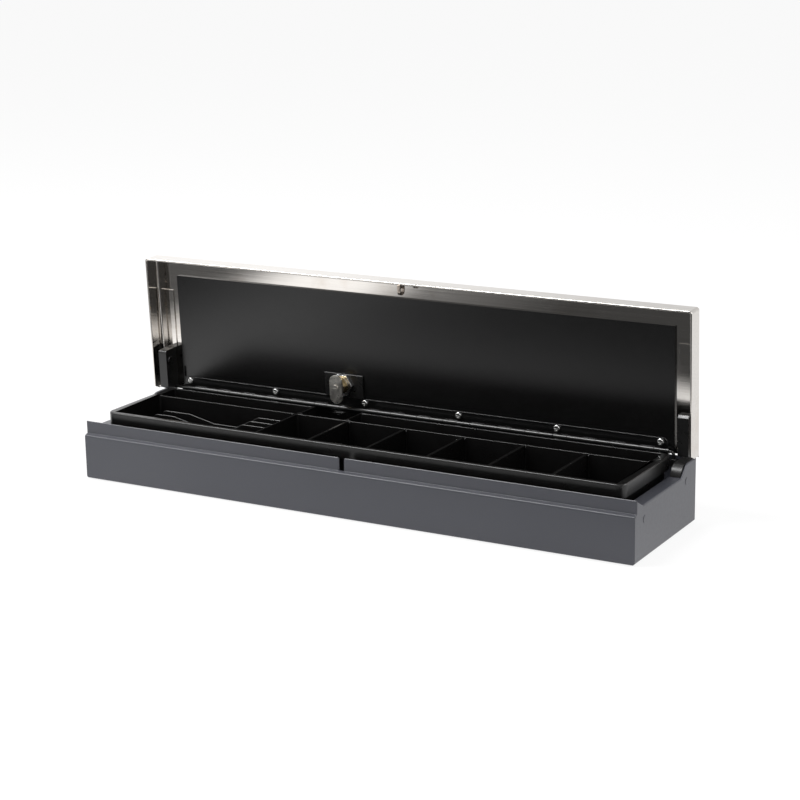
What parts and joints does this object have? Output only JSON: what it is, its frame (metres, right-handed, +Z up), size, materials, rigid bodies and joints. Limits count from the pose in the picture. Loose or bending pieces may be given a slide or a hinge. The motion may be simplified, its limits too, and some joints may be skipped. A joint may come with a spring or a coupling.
{
  "type": "flip-top cash drawer",
  "caption": "Long low counter cash drawer with a flip-up lid on a rear piano hinge, a lift-out coin and note tray, a lid lock and a solenoid latch.",
  "frame": {"origin": "on the underside of the base pan, in the middle of the four counter-fixing holes", "axes": "+X to the right along the drawer's length, seen from the side the user stands on; +Y to the back, where the hinge is; +Z up"},
  "size_m": [0.6054, 0.1458, 0.2067],
  "materials": {
    "base_paint": "fine satin slate-grey powder coat",
    "rubber": "matte black",
    "black_steel": "satin black",
    "hinge_steel": "semi-gloss black",
    "clamp_paint": "satin black",
    "spring_steel": "dark, oiled, bright where it is worn",
    "eye_steel": "bare, slightly brown",
    "zinc_steel": "zinc plated",
    "screw_steel": "bright zinc",
    "stainless": "fine brushed, nearly mirror in places",
    "lock_chrome": "polished",
    "cam_steel": "dull plated",
    "lock_brass": "polished",
    "lid_panel": "black, slightly glossy",
    "tray_plastic": "black, satin",
    "divider_plastic": "black, satin",
    "black_plastic": "black",
    "red_plastic": "red",
    "coil_tape": "amber tape over the winding",
    "cable_jacket": "black"
  },
  "bodies": {
    "base": {"base_pan": "base_paint", "front_panel": "base_paint", "rear_panel": "base_paint", "side_rivets": "base_paint", "rubber_feet": "rubber", "stop_post": "black_plastic", "tray_rail_left": "black_steel", "tray_rail_right": "black_steel", "hinge_lower_leaf": "hinge_steel", "lower_leaf_rivets": "black_steel", "torsion_bar": "spring_steel", "bar_anchor": "black_steel", "lock_keeper": "zinc_steel", "latch_bracket": "black_steel", "solenoid_frame": "zinc_steel", "solenoid_coil": "coil_tape", "micro_switch": "black_plastic", "connector_socket": "black_plastic", "wiring_harness": "cable_jacket"},
    "lid": {"lid_shell": "stainless", "lid_inner_panel": "lid_panel", "hinge_upper_leaf": "hinge_steel", "upper_leaf_screws": "screw_steel", "lid_strip_left": "stainless", "lid_strip_right": "stainless", "spring_clamp": "clamp_paint", "clamp_bolt": "screw_steel", "stop_block": "clamp_paint", "striker_eye": "eye_steel", "lock_plate": "black_steel", "lock_barrel": "lock_chrome", "lock_nut": "zinc_steel"},
    "lock_core": {"lock_plug": "lock_brass", "lock_cam": "cam_steel", "cam_screw": "cam_steel"},
    "latch": {"latch_bolt": "spring_steel", "latch_link": "black_steel", "solenoid_plunger": "spring_steel"},
    "switch": {"switch_button": "red_plastic"},
    "tray": {"tray": "tray_plastic", "note_partition_front": "tray_plastic", "note_partition_middle": "tray_plastic", "note_partition_rear": "tray_plastic"},
    "divider_1": {"cup_divider_1": "divider_plastic"},
    "divider_2": {"cup_divider_2": "divider_plastic"},
    "divider_3": {"cup_divider_3": "divider_plastic"},
    "divider_4": {"cup_divider_4": "divider_plastic"},
    "divider_5": {"cup_divider_5": "divider_plastic"}
  },
  "joints": [
    {"name": "lid_hinge", "type": "hinge", "parent": "base", "child": "lid", "pos_m": [0, 0.06745, 0.065], "axis": [1, 0, 0], "range_deg": [0, 87.4], "stiffness_Nm_per_rad": 0.85, "springref_deg": -20.05},
    {"name": "lock_turn", "type": "hinge", "parent": "lid", "child": "lock_core", "pos_m": [-0.078, 0.07256, 0.09026], "axis": [0, 0.999, 0.0454], "range_deg": [0, 90]},
    {"name": "latch_slide", "type": "slide", "parent": "base", "child": "latch", "axis": [-1, 0, 0], "range_m": [0, 0.009]},
    {"name": "switch_press", "type": "slide", "parent": "base", "child": "switch", "axis": [-1, 0, 0], "range_m": [0, 0.001], "stiffness_N_per_m": 300, "springref_m": -0.001},
    {"name": "tray_lift", "type": "slide", "parent": "base", "child": "tray", "axis": [0, 0, -1], "range_m": [-0.08, 0]},
    {"name": "divider_lift_1", "type": "slide", "parent": "tray", "child": "divider_1", "axis": [0, 0, -1], "range_m": [-0.055, 0]},
    {"name": "divider_lift_2", "type": "slide", "parent": "tray", "child": "divider_2", "axis": [0, 0, -1], "range_m": [-0.055, 0]},
    {"name": "divider_lift_3", "type": "slide", "parent": "tray", "child": "divider_3", "axis": [0, 0, -1], "range_m": [-0.055, 0]},
    {"name": "divider_lift_4", "type": "slide", "parent": "tray", "child": "divider_4", "axis": [0, 0, -1], "range_m": [-0.055, 0]},
    {"name": "divider_lift_5", "type": "slide", "parent": "tray", "child": "divider_5", "axis": [0, 0, -1], "range_m": [-0.055, 0]}
  ]
}
